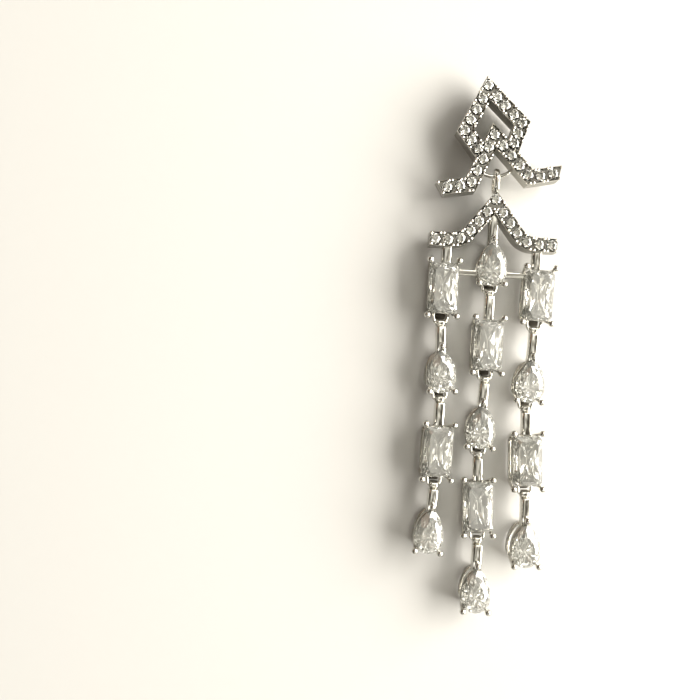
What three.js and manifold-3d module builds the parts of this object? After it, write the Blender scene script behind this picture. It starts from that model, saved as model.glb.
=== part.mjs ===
// A chandelier earring lying face up: a pavé diamond and chevron on top, a pavé roof hooked on
// its bail, and three strands of claw-set stones below, linked by short bars with eyes.
// Millimetres and degrees. +Z is up (the face), +Y runs towards the top of the earring.
import * as THREE from 'three';
import * as BufferGeometryUtils from 'three/addons/utils/BufferGeometryUtils.js';
import Module from 'manifold-3d';

const wasm = await Module();
wasm.setup();

// Cut stones. A pear is a round end with a tip above its centre.
const RECT = { width: 3.0, length: 5.1, corner: 0.4 };
const PEAR = { radius: 1.5, tip: 2.85, steps: 6 };
const GIRDLE_Z = 2.75;
const CROWN = 0.5;
const PAVILION = 1.75;
const TABLE_SCALE = 0.62;

// Claw settings: two rails that follow the stone, joined by prongs that end in balls.
const RAIL_WALL = 0.32;
const BASE_RAIL = { bottom: 0, top: 0.45, inset: 0.12 };
const GALLERY_RAIL = { bottom: 1.8, top: 2.25, inset: 0 };
const PRONG = { radius: 0.24, ball: 0.35, foot: 0.2, top: 3.0, sides: 5 };
const RECT_PRONG = { x: 1.46, y: 2.78, footX: 1.2, footY: 2.25 };
const PEAR_PRONG = { tip: 3.28, tipFoot: 2.45, reach: 1.8, reachFoot: 1.2, angle: 45 };

// Linking: a wire loop at the foot of a setting, and the eye of the next bar round it.
const EYE = { z: 1.55, outer: 0.46, hole: 0.26, thick: 0.8, sides: 8 };
const LOOP = { wire: 0.17, width: 1.42, square: 0.55, steps: 6, sides: 5 };
const BAR = { width: 1.05, bottom: 1.0, top: 2.2, round: 0.3 };
const TAIL = { rect: 3.5, pear: 2.12 };

// The top: a diamond outline whose lower sides end on the legs of a chevron with level feet.
const TOP = {
  width: 1.45, bottom: 1.05, top: 3.0,
  tipY: 4.8, cornerX: 2.88, cornerY: 0.88, crossX: 1.33, crossY: -2.02,
  bendX: 3.02, bendY: -4.57, footX: 6.05, footY: -4.5, footSlant: 0.3,
};
const TOP_PLACE = { x: -0.54, y: 6.61, turn: 10.5 };
const BAIL = { wire: 0.2, z: 2.05, endX: 1.95, endY: -3.15, sag: 0.8 };
const CLIP = { wire: 0.3, z: 0.62, hingeX: 1.85, hingeY: -0.9, inset: 0.15, sides: 6 };
const LUG = { x: 0.8, width: 0.5, length: 1.1, bottom: 0, hole: 0.38 };

// The roof: two straight legs that round off into level eaves, and what hangs from them.
const ROOF = {
  width: 1.4, bottom: 0.7, top: 2.9, kneeX: 3.1, eaveY: -4.0, eaveX: 6.42, kneeRadius: 1.2,
};
const ROOF_RING = {
  low: 0.7, high: 3.55, bottom: 0.75, top: 3.05, wire: 0.45, thick: 0.5, sides: 16,
};
const EAVE_BAR_X = 4.56;
const CENTRE_BAR_TOP = -0.6;
const CROSSBAR = { y: -7.15, width: 0.6, bottom: 1.7, top: 2.3, from: 1.4, to: 3.5 };

// Each strand from its setting on the roof down: where that stone sits, then the hung links.
// drop is the way from a link's eye to the centre of its stone, lean turns the link in the
// plane of the face, and roll turns it about its own length.
const STRANDS = [
  {
    side: 'left', x: -4.74, y: -8.9, cut: 'rect', lean: 0,
    links: [
      { cut: 'pear', drop: 5.6, lean: 3.0, roll: 5 },
      { cut: 'rect', drop: 5.25, lean: -0.5, roll: 5 },
      { cut: 'pear', drop: 5.3, lean: -3.2, roll: 1 },
    ],
  },
  {
    side: 'centre', x: 0.06, y: -6.9, cut: 'pear', lean: -0.5,
    links: [
      { cut: 'rect', drop: 5.35, lean: 0.3, roll: 1 },
      { cut: 'pear', drop: 5.5, lean: -1.8, roll: -2 },
      { cut: 'rect', drop: 5.2, lean: 3.2, roll: -3 },
      { cut: 'pear', drop: 5.65, lean: 0.2, roll: 2 },
    ],
  },
  {
    side: 'right', x: 4.86, y: -9.05, cut: 'rect', lean: -1.2,
    links: [
      { cut: 'pear', drop: 5.9, lean: -2.6, roll: 1 },
      { cut: 'rect', drop: 5.2, lean: 3.2, roll: 3 },
      { cut: 'pear', drop: 5.75, lean: 1.6, roll: 5 },
    ],
  },
];

const METAL = { color: 0xc9c6bf, roughness: 0.2, metalness: 1 };
const ZIRCONIA = { color: 0xf3f5f6, roughness: 0.04, metalness: 0 };

const rad = THREE.MathUtils.degToRad;
const v2 = (x, y) => new THREE.Vector2(x, y);
const v3 = (x, y, z) => new THREE.Vector3(x, y, z);

// ---- From geometry to joined solids ----------------------------------------------------------

function signedVolume(geometry) {
  const [p, index] = [geometry.attributes.position, geometry.index];
  const [a, b, c] = [v3(), v3(), v3()];
  let sum = 0;
  for (let i = 0; i < index.count; i += 3) {
    a.fromBufferAttribute(p, index.getX(i));
    b.fromBufferAttribute(p, index.getX(i + 1));
    c.fromBufferAttribute(p, index.getX(i + 2));
    sum += a.dot(b.cross(c)) / 6;
  }
  return sum;
}

function toSolid(source) {
  const plain = source.clone();
  plain.deleteAttribute('normal');
  plain.deleteAttribute('uv');
  const merged = BufferGeometryUtils.mergeVertices(plain, 1e-5);
  const index = Uint32Array.from(merged.index.array);
  if (signedVolume(merged) < 0) index.reverse();
  return new wasm.Manifold(new wasm.Mesh({
    numProp: 3,
    vertProperties: Float32Array.from(merged.attributes.position.array),
    triVerts: index,
  }));
}

function toGeometry(solid) {
  const { vertProperties, triVerts } = solid.getMesh();
  const geometry = new THREE.BufferGeometry();
  geometry.setAttribute('position', new THREE.BufferAttribute(vertProperties, 3));
  geometry.setIndex(new THREE.BufferAttribute(triVerts, 1));
  geometry.computeVertexNormals();
  return geometry;
}

function join(geometries, cuts = []) {
  let solid = geometries.map(toSolid).reduce((whole, piece) => whole.add(piece));
  for (const cut of cuts) solid = solid.subtract(toSolid(cut));
  return toGeometry(solid);
}

function addMesh(parent, name, geometry, finish) {
  const mesh = new THREE.Mesh(geometry, new THREE.MeshStandardMaterial(finish));
  mesh.name = name;
  parent.add(mesh);
  return mesh;
}

// ---- Shared shapes ---------------------------------------------------------------------------

function plate(shape, bottom, top) {
  const geometry = new THREE.ExtrudeGeometry(shape, { depth: top - bottom, bevelEnabled: false });
  return geometry.translate(0, 0, bottom);
}

function box(x0, x1, y0, y1, z0, z1) {
  const geometry = new THREE.BoxGeometry(x1 - x0, y1 - y0, z1 - z0);
  return geometry.translate((x0 + x1) / 2, (y0 + y1) / 2, (z0 + z1) / 2);
}

// A round wire along a curve, with flat closed ends.
function wire(curve, radius, steps, sides) {
  const section = new THREE.Shape(circlePoints(radius, sides));
  return new THREE.ExtrudeGeometry(section, { extrudePath: curve, steps, bevelEnabled: false });
}

function circlePoints(radius, sides) {
  return Array.from({ length: sides }, (_, i) => {
    const t = (2 * Math.PI * i) / sides;
    return v2(radius * Math.cos(t), radius * Math.sin(t));
  });
}

// A flat ring standing in the YZ plane, its outline a stretched circle, thick along X.
function uprightRing(y, z, radiusY, radiusZ, wall, thick, sides) {
  const stretch = (points, ry, rz) => points.map((p) => v2(p.x * ry, p.y * rz));
  const shape = new THREE.Shape(stretch(circlePoints(1, sides), radiusY, radiusZ));
  shape.holes.push(new THREE.Path(
    stretch(circlePoints(1, sides), radiusY - wall, radiusZ - wall)));
  const ring = plate(shape, -thick / 2, thick / 2);
  ring.applyMatrix4(new THREE.Matrix4().makeBasis(v3(0, 1, 0), v3(0, 0, 1), v3(1, 0, 0)));
  return ring.translate(0, y, z);
}

function ball(radius, centre) {
  return new THREE.SphereGeometry(radius, 6, 4).translate(centre.x, centre.y, centre.z);
}

// The outline of a strip of even width along a centre line, with mitred corners. Its ends are
// square, or slanted so that the upper edge runs on further than the lower.
function band(line, width, slant = 0) {
  const last = line.length - 1;
  const normal = (a, b) => v2(a.y - b.y, b.x - a.x).normalize();
  const side = (offset) => line.map((p, i) => {
    const before = i > 0 ? normal(line[i - 1], p) : normal(p, line[i + 1]);
    const after = i < last ? normal(p, line[i + 1]) : before;
    const miter = before.clone().add(after).normalize();
    const corner = p.clone().addScaledVector(miter, offset / miter.dot(after));
    const outward = i === 0 ? -1 : Number(i === last);
    return corner.addScaledVector(v2(miter.y, -miter.x), outward * Math.sign(offset) * slant);
  });
  return new THREE.Shape([...side(width / 2), ...side(-width / 2).reverse()]);
}

// A bar along Y with its upper edges rounded off.
function bar(x, yTop, yBottom) {
  const [half, r, top] = [BAR.width / 2, BAR.round, BAR.top];
  const section = new THREE.Shape();
  section.moveTo(-half, BAR.bottom);
  section.lineTo(half, BAR.bottom);
  section.lineTo(half, top - r);
  section.quadraticCurveTo(half, top, half - r, top);
  section.lineTo(r - half, top);
  section.quadraticCurveTo(-half, top, -half, top - r);
  const geometry = new THREE.ExtrudeGeometry(section, {
    depth: yTop - yBottom, bevelEnabled: false, curveSegments: 2,
  });
  return geometry.rotateX(Math.PI / 2).translate(x, yTop, 0);
}

// ---- Stones and their settings, each about the centre of its stone ----------------------------

function rectOutline(inset) {
  const [x, y, c] = [RECT.width / 2 - inset, RECT.length / 2 - inset, RECT.corner];
  return [
    v2(x - c, -y), v2(x, c - y), v2(x, y - c), v2(x - c, y),
    v2(c - x, y), v2(-x, y - c), v2(-x, c - y), v2(c - x, -y),
  ];
}

// Round below its centre; above it the half width falls as cos(t)^1.2 while the height rises
// as sin(t), which gives full shoulders and a blunt tip.
function pearOutline(inset) {
  const [r, tip] = [PEAR.radius - inset, PEAR.tip - inset];
  return Array.from({ length: 2 * PEAR.steps }, (_, i) => {
    const t = (Math.PI * i) / PEAR.steps;
    const [c, s] = [Math.cos(t), Math.sin(t)];
    return s <= 0 ? v2(r * c, r * s) : v2(r * Math.sign(c) * Math.abs(c) ** 1.2, tip * s);
  });
}

const OUTLINE = { rect: rectOutline, pear: pearOutline };

// A cut stone: flat table, sloped crown, thin girdle, and a pavilion down to a short keel.
function stone(cut) {
  const keel = cut === 'rect' ? { x: 0.04, y: 0.5 } : { x: 0.06, y: 0.2 };
  const rows = [
    { z: GIRDLE_Z - PAVILION, x: keel.x, y: keel.y },
    { z: GIRDLE_Z - PAVILION * 0.5, x: 0.6, y: cut === 'rect' ? 0.76 : 0.6 },
    { z: GIRDLE_Z - 0.06, x: 1, y: 1 },
    { z: GIRDLE_Z + 0.06, x: 1, y: 1 },
    { z: GIRDLE_Z + CROWN, x: TABLE_SCALE, y: cut === 'rect' ? 0.78 : TABLE_SCALE },
  ];
  const outline = OUTLINE[cut](0.02);
  const n = outline.length;
  const points = rows.flatMap((row) => outline.map((p) => v3(p.x * row.x, p.y * row.y, row.z)));
  const index = [];
  for (let r = 0; r + 1 < rows.length; r += 1) {
    for (let i = 0; i < n; i += 1) {
      const [a, b] = [r * n + i, r * n + ((i + 1) % n)];
      index.push(a, b, b + n, a, b + n, a + n);
    }
  }
  const last = (rows.length - 1) * n;
  for (let i = 1; i + 1 < n; i += 1) {
    index.push(0, i + 1, i, last, last + i, last + i + 1);
  }
  const geometry = new THREE.BufferGeometry().setFromPoints(points);
  geometry.setIndex(index);
  geometry.computeVertexNormals();
  return geometry;
}

function rail(cut, level) {
  const shape = new THREE.Shape(OUTLINE[cut](level.inset));
  shape.holes.push(new THREE.Path(OUTLINE[cut](level.inset + RAIL_WALL)));
  return plate(shape, level.bottom, level.top);
}

function prong(foot, tip) {
  const along = tip.clone().sub(foot);
  const shaft = new THREE.CylinderGeometry(PRONG.radius, PRONG.radius, along.length(), PRONG.sides);
  shaft.translate(0, along.length() / 2, 0);
  shaft.applyQuaternion(new THREE.Quaternion().setFromUnitVectors(v3(0, 1, 0), along.normalize()));
  shaft.translate(foot.x, foot.y, foot.z);
  return [shaft, ball(PRONG.ball, tip)];
}

function prongs(cut) {
  const { foot, top } = PRONG;
  if (cut === 'rect') {
    const p = RECT_PRONG;
    return [-1, 1].flatMap((i) => [-1, 1].flatMap((j) => prong(
      v3(i * p.footX, j * p.footY, foot), v3(i * p.x, j * p.y, top))));
  }
  const p = PEAR_PRONG;
  const [c, s] = [Math.cos(rad(p.angle)), Math.sin(rad(p.angle))];
  return [
    ...prong(v3(0, p.tipFoot, foot), v3(0, p.tip, top)),
    ...[-1, 1].flatMap((i) => prong(
      v3(i * p.reachFoot * c, -p.reachFoot * s, foot), v3(i * p.reach * c, -p.reach * s, top))),
  ];
}

// Half of a squared oval lying flat: x follows cos(t), y falls as sin(t), both raised to a
// power below one so that the sides run straight and the foot is level.
class LoopCurve extends THREE.Curve {
  constructor(top, bottom) {
    super();
    this.top = top;
    this.bottom = bottom;
  }

  getPoint(u, target = v3()) {
    const [c, s] = [Math.cos(Math.PI * u), Math.sin(Math.PI * u)];
    const x = (LOOP.width / 2) * Math.sign(c) * Math.abs(c) ** LOOP.square;
    const y = this.top + (this.bottom - this.top) * Math.max(s, 0) ** LOOP.square;
    return target.set(x, y, EYE.z);
  }
}

function footLoop(cut) {
  const wall = cut === 'rect' ? RECT.length / 2 : PEAR.radius;
  const curve = new LoopCurve(RAIL_WALL / 2 + 0.15 - wall, -TAIL[cut]);
  return wire(curve, LOOP.wire, LOOP.steps, LOOP.sides);
}

// A small block behind the loop's ends carries them between the two rails.
function loopSeat(cut) {
  const wall = cut === 'rect' ? RECT.length / 2 : PEAR.radius * 0.9;
  return box(-LOOP.width / 2 - 0.2, LOOP.width / 2 + 0.2, -wall + 0.04, -wall + 0.3, 0.3, 1.95);
}

function setting(cut, hasLoop) {
  const pieces = [rail(cut, BASE_RAIL), rail(cut, GALLERY_RAIL), ...prongs(cut)];
  if (hasLoop) pieces.push(loopSeat(cut), footLoop(cut));
  return pieces;
}

function hanger(cut, drop) {
  const joinY = cut === 'rect' ? RECT.length / 2 - 0.2 : PEAR.tip - 0.15;
  return [
    uprightRing(drop, EYE.z, EYE.outer, EYE.outer, EYE.outer - EYE.hole, EYE.thick, EYE.sides),
    bar(0, drop - (EYE.outer + EYE.hole) / 2, joinY),
  ];
}

function place(geometry, x, y, turn) {
  return geometry.rotateZ(rad(turn)).translate(x, y, 0);
}

// ---- The three main groups --------------------------------------------------------------------

function addStrand(parent, strand) {
  addMesh(parent, `${strand.side}_stone_1`,
    place(stone(strand.cut), strand.x, strand.y, strand.lean), ZIRCONIA);
  const down = (x, y, lean, length) => v2(
    x + length * Math.sin(rad(lean)), y - length * Math.cos(rad(lean)));
  let eye = down(strand.x, strand.y, strand.lean, TAIL[strand.cut]);
  strand.links.forEach(({ cut, drop, lean, roll }, i) => {
    const isLast = i === strand.links.length - 1;
    const link = new THREE.Group();
    link.position.set(eye.x, eye.y, EYE.z);
    link.rotation.set(0, rad(roll), rad(lean), 'ZYX');
    parent.add(link);
    const names = ['setting', 'stone'].map((word) => `${strand.side}_${word}_${i + 2}`);
    const metal = join([...setting(cut, !isLast), ...hanger(cut, drop)]);
    for (const mesh of [addMesh(link, names[0], metal, METAL),
      addMesh(link, names[1], stone(cut), ZIRCONIA)]) {
      mesh.position.set(0, -drop, -EYE.z);
    }
    eye = down(eye.x, eye.y, lean, drop + TAIL[cut]);
  });
}

function roofLine() {
  const knee = v2(ROOF.kneeX, ROOF.eaveY);
  const leg = knee.clone().normalize();
  const corner = new THREE.QuadraticBezierCurve(
    knee.clone().addScaledVector(leg, -ROOF.kneeRadius), knee,
    knee.clone().add(v2(ROOF.kneeRadius, 0)));
  const right = [...corner.getPoints(4), v2(ROOF.eaveX, ROOF.eaveY)];
  const left = right.map((p) => v2(-p.x, p.y)).reverse();
  return [...left, v2(0, 0), ...right];
}

function roofFrame() {
  const ring = ROOF_RING;
  const pieces = [
    plate(band(roofLine(), ROOF.width), ROOF.bottom, ROOF.top),
    uprightRing((ring.low + ring.high) / 2, (ring.bottom + ring.top) / 2,
      (ring.high - ring.low) / 2, (ring.top - ring.bottom) / 2, ring.wire, ring.thick, ring.sides),
  ];
  for (const { x, y, cut, lean } of STRANDS) {
    for (const piece of setting(cut, true)) pieces.push(place(piece, x, y, lean));
    const isCentre = cut === 'pear';
    const [topY, footY] = isCentre
      ? [CENTRE_BAR_TOP, y + PEAR.tip - 0.15]
      : [ROOF.eaveY, y + RECT.length / 2 - 0.2];
    pieces.push(bar(Math.sign(x) * EAVE_BAR_X, topY, footY));
  }
  for (const [from, to] of [[CROSSBAR.from, CROSSBAR.to], [-CROSSBAR.to, -CROSSBAR.from]]) {
    pieces.push(box(from, to, CROSSBAR.y - CROSSBAR.width / 2, CROSSBAR.y + CROSSBAR.width / 2,
      CROSSBAR.bottom, CROSSBAR.top));
  }
  return join(pieces);
}

function topFrame() {
  const diamond = [
    v2(TOP.crossX, TOP.crossY), v2(TOP.cornerX, TOP.cornerY), v2(0, TOP.tipY),
    v2(-TOP.cornerX, TOP.cornerY), v2(-TOP.crossX, TOP.crossY),
  ];
  const chevron = [
    v2(-TOP.footX, TOP.footY), v2(-TOP.bendX, TOP.bendY), v2(0, 0),
    v2(TOP.bendX, TOP.bendY), v2(TOP.footX, TOP.footY),
  ];
  const bail = new THREE.QuadraticBezierCurve3(
    v3(-BAIL.endX, BAIL.endY, BAIL.z), v3(0, BAIL.endY - 2 * BAIL.sag, BAIL.z),
    v3(BAIL.endX, BAIL.endY, BAIL.z));
  const lug = (i) => box(
    i * LUG.x - LUG.width / 2, i * LUG.x + LUG.width / 2,
    CLIP.hingeY - LUG.length / 2, CLIP.hingeY + LUG.length / 2, LUG.bottom, TOP.bottom + 0.1);
  const bore = new THREE.CylinderGeometry(LUG.hole, LUG.hole, 4 * LUG.x, 12);
  bore.rotateZ(Math.PI / 2).translate(0, CLIP.hingeY, CLIP.z);
  return join([
    plate(band(diamond, TOP.width), TOP.bottom, TOP.top),
    plate(band(chevron, TOP.width, TOP.footSlant), TOP.bottom, TOP.top),
    wire(bail, BAIL.wire, 10, 8),
    lug(-1), lug(1),
  ], [bore]);
}

// The fastening: a flat wire behind the diamond, made of straight rods with a ball at each
// corner. Its lowest side is the hinge rod that turns in the lugs.
function earClip() {
  const right = [v2(CLIP.hingeX, CLIP.hingeY), v2(TOP.cornerX - CLIP.inset, TOP.cornerY)];
  const left = right.map((p) => v2(-p.x, p.y)).reverse();
  const corners = [...right, v2(0, TOP.tipY - 2 * CLIP.inset), ...left];
  return join(corners.flatMap((p, i) => {
    const next = corners[(i + 1) % corners.length];
    const span = v3(next.x - p.x, next.y - p.y, 0);
    const rod = new THREE.CylinderGeometry(CLIP.wire, CLIP.wire, span.length(), CLIP.sides);
    rod.translate(0, span.length() / 2, 0);
    rod.applyQuaternion(new THREE.Quaternion().setFromUnitVectors(v3(0, 1, 0), span.normalize()));
    return [rod.translate(p.x, p.y, CLIP.z), ball(CLIP.wire * 1.05, v3(p.x, p.y, CLIP.z))];
  }));
}

const earring = new THREE.Group();

const top = new THREE.Group();
top.position.set(TOP_PLACE.x, TOP_PLACE.y, 0);
top.rotation.z = rad(TOP_PLACE.turn);
earring.add(top);
addMesh(top, 'top_frame', topFrame(), METAL);
addMesh(top, 'ear_clip', earClip(), METAL);

addMesh(earring, 'roof_frame', roofFrame(), METAL);
for (const strand of STRANDS) addStrand(earring, strand);

// The origin is put under the middle of the whole earring, on the surface it lies on.
const extent = new THREE.Box3().setFromObject(earring, true);
const middle = extent.getCenter(v3());
earring.position.set(-middle.x, -middle.y, -extent.min.z);

export default earring;
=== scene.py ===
"""A chandelier earring lying face up on pale paper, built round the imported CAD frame.

Metres throughout. +Z is up out of the face, +Y runs from the lowest stone to the tip of the top.
"""
from math import atan2, cos, pi, radians, sin

import bpy
import numpy as np
from bpy.props import FloatProperty, FloatVectorProperty, PointerProperty
from mathutils import Matrix, Vector


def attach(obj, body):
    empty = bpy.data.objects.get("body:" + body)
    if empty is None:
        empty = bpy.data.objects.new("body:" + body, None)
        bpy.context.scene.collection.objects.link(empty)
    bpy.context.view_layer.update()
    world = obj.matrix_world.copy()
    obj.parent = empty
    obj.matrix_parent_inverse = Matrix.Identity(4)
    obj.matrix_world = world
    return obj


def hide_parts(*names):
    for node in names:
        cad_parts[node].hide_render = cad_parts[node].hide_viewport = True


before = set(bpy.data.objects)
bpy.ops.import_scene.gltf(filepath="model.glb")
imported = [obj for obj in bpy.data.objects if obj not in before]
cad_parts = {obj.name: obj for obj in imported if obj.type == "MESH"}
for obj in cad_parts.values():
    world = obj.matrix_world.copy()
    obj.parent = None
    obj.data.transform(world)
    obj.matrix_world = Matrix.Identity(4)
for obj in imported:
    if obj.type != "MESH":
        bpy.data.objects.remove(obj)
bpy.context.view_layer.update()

bl_info = {
    "name": "Chandelier Earring",
    "version": (1, 0, 0),
    "blender": (4, 5, 0),
    "location": "View3D > Sidebar > Earring",
    "description": "Builds a paved chandelier earring with claw-set drops around its CAD frame",
    "category": "Add Mesh",
}

MM = 0.001
SIDES = ("left", "centre", "right")


# ---- Sizes and colours ------------------------------------


def number(value, description, **kind):
    """A property that holds one number of a kind: its unit or subtype, and its limits."""
    return FloatProperty(description=description, default=value, **kind)


def length(millimetres, description):
    """A length property whose default is given in millimetres."""
    return number(millimetres * MM, description, min=0.0, unit="LENGTH", precision=6)


def angle(degrees, description):
    """An angle property whose default is given in degrees."""
    return number(radians(degrees), description, subtype="ANGLE")


def share(value, description):
    """A factor from nought to one."""
    return number(value, description, min=0.0, max=1.0, subtype="FACTOR")


def place(x, y, description):
    """A point in the plane of the face, with its default in millimetres."""
    return FloatVectorProperty(
        description=description, default=(x * MM, y * MM), size=2, subtype="XYZ", unit="LENGTH"
    )


def colour(value, description):
    """A colour property."""
    return FloatVectorProperty(
        description=description, default=value, size=3, min=0.0, max=1.0, subtype="COLOR"
    )


def named(group):
    """The property group with each property named after its field, in words."""
    for field, prop in group.__annotations__.items():
        prop.keywords["name"] = field.replace("_", " ").capitalize()
    return group


@named
class EarringStoneSizes(bpy.types.PropertyGroup):
    corner: length(0.4, "How much of each corner of a rectangular stone is cut off")
    girdle: length(2.75, "Height of the girdle over a setting's base")
    crown: length(0.5, "Height of the table over the girdle")
    pavilion: length(1.72, "Depth of the culet under the girdle")
    gap: length(0.02, "How far a stone's outline stays inside its setting's")
    pear_power: number(1.2, "Power of the cosine in a pear's upper half width", min=1.0, max=2.0)


@named
class EarringSettingSizes(bpy.types.PropertyGroup):
    wall: length(0.32, "Width of the rails of a basket")
    base_top: length(0.45, "Height of the base rail")
    base_inset: length(0.12, "How far the base rail stands inside the stone's outline")
    gallery_bottom: length(1.8, "Lower edge of the gallery rail")
    gallery_top: length(2.3, "Upper edge of the gallery rail")
    prong: length(0.23, "Radius of a prong's shaft at its foot")
    prong_ball: length(0.34, "Radius of the ball that ends a prong")
    prong_top: length(3.0, "Height of the middle of a prong's ball")
    prong_low: length(0.2, "Height of a prong's foot")
    rect_tip: place(-0.04, 0.23, "A prong's tip past a rectangle's side and end")
    rect_in: place(0.26, 0.53, "How far in from its tip a prong's foot stands")
    pear_tip: length(0.43, "From a pear's tip to the tip of its prong")
    pear_in: length(0.83, "How far in from its tip that prong's foot stands")
    pear_out: length(0.3, "How far out of a pear's side a prong leans, and in at its foot")
    bar_width: length(1.05, "Width of the bars")
    bar_bottom: length(1.0, "Lower side of the bars")
    bar_top: length(2.2, "Upper side of the bars")
    bar_arch: length(0.42, "Rise of the arched face of the bars")
    eye_height: length(1.55, "Height of the eyes and loops")
    eye_outer: length(0.46, "Outer radius of an eye")
    eye_hole: length(0.26, "Radius of the hole of an eye")
    eye_thick: length(0.8, "Width of an eye across the strand")
    loop_wire: length(0.17, "Radius of the wire of a foot loop")
    loop_width: length(1.42, "Width of a foot loop")
    rect_tail: length(3.5, "From a rectangular stone's centre to its foot loop's end")
    pear_tail: length(2.12, "From a pear stone's centre to its foot loop's end")


@named
class EarringPaveSizes(bpy.types.PropertyGroup):
    stone: length(0.52, "Radius of the round stones")
    pair: length(0.17, "Half the distance between the two beads of a pair")
    bead: length(0.165, "Radius of the beads that hold them")
    rim: length(0.08, "Width of the bright rim on both edges of a paved bar")
    cut: length(0.2, "How deep the metal between the stones lies under the rim")
    seat: length(0.75, "Depth of a stone's drilled seat")
    step: length(0.05, "Size of the grid cells of a paved bar")
    edge: length(0.1, "Radius of the rounded edges of a paved bar")


@named
class EarringTopSizes(bpy.types.PropertyGroup):
    width: length(1.45, "Width of the top's paved bars")
    bottom: length(1.05, "Height of the top's flat back")
    top: length(3.0, "Height of the top's face")
    tip: place(0.0, 4.8, "Centre line's upper corner of the diamond")
    corner: place(2.88, 0.88, "Centre line's side corner of the diamond")
    crossing: place(1.33, -2.02, "Where a lower side of the diamond meets the chevron")
    bend: place(3.02, -4.57, "Where a leg of the chevron turns into its foot")
    foot: place(6.05, -4.5, "Middle of the end of a foot")
    slant: length(0.3, "How far a foot's upper edge runs on past its middle")
    bail: place(1.95, -3.15, "Where the wire bail leaves a leg of the chevron")
    bail_height: length(2.05, "Height of the wire bail")
    bail_wire: length(0.2, "Radius of the bail's wire")
    bail_sag: length(0.8, "How far the bail hangs below its ends")
    lug: place(0.8, -0.9, "Middle of a lug on the back")
    lug_hole: length(0.38, "Radius of the hole of a lug")
    lug_reach: length(0.55, "Half the length of a lug")
    lug_thick: length(0.5, "Width of a lug")
    clip_wire: length(0.3, "Radius of the clip's wire")
    clip_height: length(0.62, "Height of the clip's wire")
    clip_reach: length(1.85, "Half the length of the clip's hinge side")
    clip_inset: length(0.15, "How far the clip stays inside the diamond's centre line")
    pitch: length(1.3, "Distance between the stones along a leg")
    last: place(1.12, 2.2, "Distances of the last two stones past the diamond's corner")
    middle_stone: length(0.1, "How far over the apex the chevron's middle stone sits")
    tip_stone: length(0.32, "How far over the tip of the centre line its stone sits")
    tip_bead: length(1.0, "How far over the tip of the centre line its bead sits")


@named
class EarringRoofSizes(bpy.types.PropertyGroup):
    width: length(1.4, "Width of the roof's paved bar")
    bottom: length(0.7, "Height of the roof's flat back")
    top: length(2.9, "Height of the roof's face")
    knee: place(3.1, -4.0, "Where a straight leg would meet its level eave")
    knee_round: length(1.2, "Length of leg and of eave taken up by the rounded knee")
    eave: length(6.42, "From the middle to the end of an eave")
    ring_low: length(0.7, "Lower end of the hanging ring, above the centre line's apex")
    ring_high: length(3.55, "Upper end of the hanging ring")
    ring_bottom: length(0.75, "Lowest height of the hanging ring")
    ring_top: length(3.05, "Highest height of the hanging ring")
    ring_wire: length(0.45, "Wall of the hanging ring")
    ring_thick: length(0.5, "Width of the hanging ring")
    eave_bar: length(4.56, "From the middle to a bar under an eave")
    centre_bar: length(0.6, "How far below the apex the centre bar starts")
    cross: place(2.45, -7.15, "Middle of a crossbar")
    cross_length: length(2.1, "Length of a crossbar")
    cross_width: length(0.6, "Width of a crossbar")
    cross_height: length(2.0, "Height of a crossbar's middle")
    pitch: length(1.275, "Distance between the stones along the bar")
    middle_stone: length(0.3, "How far over the apex the middle stone sits")


@named
class EarringFinish(bpy.types.PropertyGroup):
    metal: colour((0.76, 0.742, 0.69), "Colour of the polished plated metal")
    # Painted shade: the dark colour that the metal down in the seats is given.
    recess: colour((0.11, 0.098, 0.078), "Colour of the metal down in the drilled seats")
    # Painted shade: the dark colour that the matt walls and backs are given; their roughness is real.
    wall: colour((0.22, 0.21, 0.185), "Colour of the unpolished walls and backs")
    stone: colour((0.99, 0.985, 0.92), "Colour of the clear stones")
    index: number(2.16, "Refractive index of the stones", min=1.0)
    polish: share(0.07, "Roughness of the metal at its smoothest")
    rubbed: share(0.14, "Roughness that the rub marks add")
    recess_rough: share(0.25, "Roughness that the drilled seats add")
    satin_rough: share(0.32, "Roughness that the satin walls add")
    # How much of that painted shade the matt walls take.
    wall_shade_mix: share(0.62, "How much of the walls' colour the satin walls take")
    bloom: share(0.11, "Share of the light that the cut stones' facets scatter")


@named
class EarringStage(bpy.types.PropertyGroup):
    paper: colour((0.62, 0.61, 0.582), "Colour of the surface")
    window: colour((1.0, 0.97, 0.92), "Colour of the soft light from the right")
    window_power: number(6.2, "Power of the soft light", min=0.0, unit="POWER")
    window_azimuth: angle(8.0, "Direction of the soft light, from +X towards +Y")
    window_height: angle(29.0, "How high the soft light stands")
    window_distance: length(400.0, "From the earring to the soft light")
    window_width: length(560.0, "Width of the soft light")
    window_tall: length(300.0, "Height of the soft light")
    eye_height: length(81.6, "Height of the camera over the settings' base")
    eye: place(-13.71, -15.69, "Camera from the roof's apex")
    roll: angle(3.5, "Turn of the camera about its own axis")
    view: angle(48.0, "Angle of view of the camera")
    surface: length(600.0, "Half the width of the surface")
    room_strength: number(0.64, "Brightness of the room", min=0.0)


# ---- Surfaces ---------------------------------------------
# A shell is three things: an array of points, a list of arrays of faces with equal corner counts,
# and for each point its finish: how deep it lies in a seat, which dulls it and darkens it with
# painted shade, and how matt it is, which roughens it and darkens it with painted shade too.

POLISHED = (0.0, 0.0)
UPRIGHT = np.eye(3)
UP = (0, 0, 1)


def outward(points, faces, finish=POLISHED):
    """A shell with its faces turned so that it encloses a positive volume."""
    finish = np.broadcast_to(finish, (len(points), 2))
    volume = 0.0
    for group in faces:
        corners = points[group]
        for k in range(1, group.shape[1] - 1):
            fan = np.cross(corners[:, k], corners[:, k + 1])
            volume += np.sum(corners[:, 0] * fan)
    return points, [group[:, ::-1] for group in faces] if volume < 0 else faces, finish


def end_caps(count, around):
    """Flat faces over the first and the last ring of a stack."""
    ring = np.arange(around)[None, :]
    return [ring[:, ::-1], (count - 1) * around + ring]


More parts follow.
